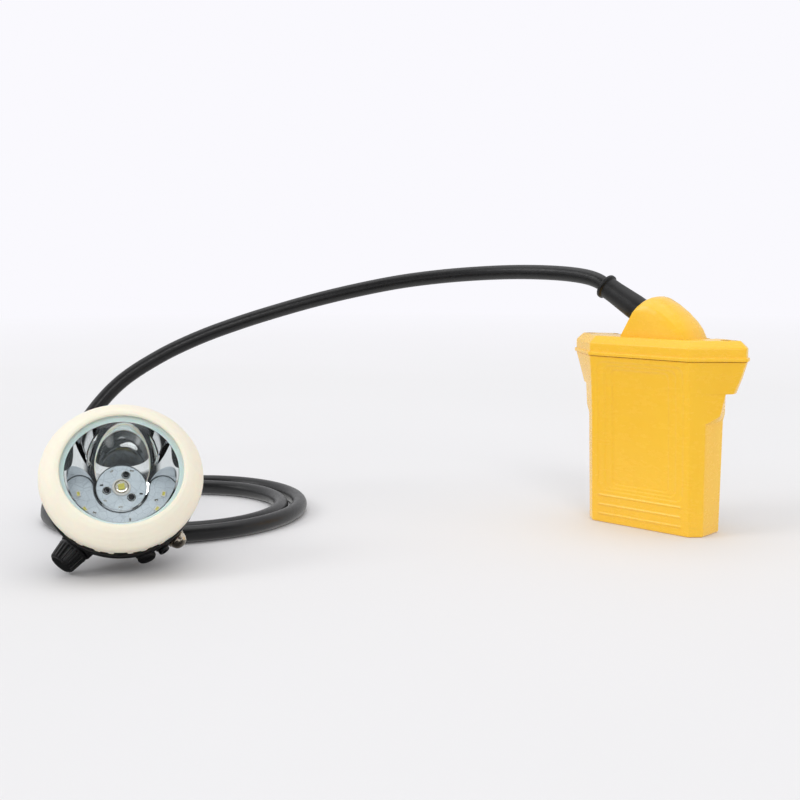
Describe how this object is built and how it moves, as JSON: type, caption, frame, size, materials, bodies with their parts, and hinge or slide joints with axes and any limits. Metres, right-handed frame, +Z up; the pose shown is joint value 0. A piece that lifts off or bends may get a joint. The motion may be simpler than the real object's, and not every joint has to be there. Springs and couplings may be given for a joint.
{
  "type": "miner's cap lamp",
  "caption": "Belt-worn battery with a domed cable entry, a rubber cable and a round cap-mounted headpiece with reflector, auxiliary lights and rotary switch.",
  "frame": {"origin": "middle of the battery's flat base", "axes": "+Z up the battery, +Y towards its belt loop, +X to its right seen from the front"},
  "size_m": [0.3398, 0.312, 0.1434],
  "materials": {
    "yellow_plastic": "satin moulded",
    "cream_plastic": "satin moulded",
    "black_plastic": "fine grained",
    "black_rubber": "satin",
    "pale_silicone": "satin",
    "clear_glass": "clear",
    "mirror_chrome": "mirror",
    "nickel": "polished",
    "steel": "brushed",
    "aluminium": "machined",
    "board_white": "white coated",
    "board_green": "solder mask",
    "led_yellow": "phosphor",
    "cell_wrap": "plastic sleeve",
    "wire_red": "satin"
  },
  "bodies": {
    "lamp": {"aux_led_1": "led_yellow", "aux_led_2": "led_yellow", "aux_led_3": "led_yellow", "aux_led_4": "led_yellow", "aux_led_5": "led_yellow", "aux_led_6": "led_yellow", "aux_led_board": "board_white", "battery_cable_sleeve": "black_rubber", "battery_case": "yellow_plastic", "battery_lid": "yellow_plastic", "belt_loop": "black_plastic", "belt_loop_screw_1": "steel", "belt_loop_screw_2": "steel", "belt_loop_screw_3": "steel", "belt_loop_screw_4": "steel", "bezel_lock_screw": "steel", "board_screw_1": "steel", "board_screw_2": "steel", "board_screw_3": "steel", "cable": "black_rubber", "cap_hook": "steel", "cell_1": "cell_wrap", "cell_2": "cell_wrap", "cell_3": "cell_wrap", "cell_tray_lower": "black_plastic", "cell_tray_upper": "black_plastic", "charge_contact": "nickel", "contact_bush": "black_plastic", "contact_nut": "steel", "contact_strip_lower": "nickel", "contact_strip_upper": "nickel", "contact_washer": "nickel", "driver_board": "board_green", "gland_nut": "black_plastic", "head_cable_sleeve": "black_rubber", "headpiece_housing": "black_plastic", "heat_sink": "aluminium", "hook_screw_1": "steel", "hook_screw_2": "steel", "knob_o_ring": "black_rubber", "lead_negative": "black_rubber", "lead_positive": "wire_red", "lid_gasket": "black_rubber", "lid_screw_1": "steel", "lid_screw_2": "steel", "lid_screw_3": "steel", "lid_screw_4": "steel", "main_led": "led_yellow", "main_led_board": "board_white", "protection_board": "board_green", "reflector": "mirror_chrome", "seal_plug": "black_rubber", "sleeve_nut": "black_plastic", "switch_base": "black_plastic"},
    "switch": {"switch_knob": "black_plastic", "switch_spindle": "steel", "switch_contact_disc": "nickel"},
    "lens_stack": {"lens": "clear_glass", "lens_gasket": "pale_silicone"},
    "bezel": {"bezel_ring": "cream_plastic"}
  },
  "joints": [
    {"name": "switch_turn", "type": "hinge", "parent": "lamp", "child": "switch", "pos_m": [-0.14867, -0.2449, 0.03222], "axis": [0.0447, -0.799, -0.5997], "range_deg": [-60, 60]},
    {"name": "bezel_lift", "type": "slide", "parent": "lamp", "child": "lens_stack", "axis": [0.6871, -0.4112, 0.599], "range_m": [0, 0.004]},
    {"name": "bezel_turn", "type": "hinge", "parent": "lens_stack", "child": "bezel", "pos_m": [-0.1363, -0.2523, 0.043], "axis": [0.6871, -0.4112, 0.599], "range_deg": [0, 360]}
  ],
  "couplings": [
    {"joint": "bezel_lift", "follows": "bezel_turn", "m_per_rad": 0.00063661}
  ]
}
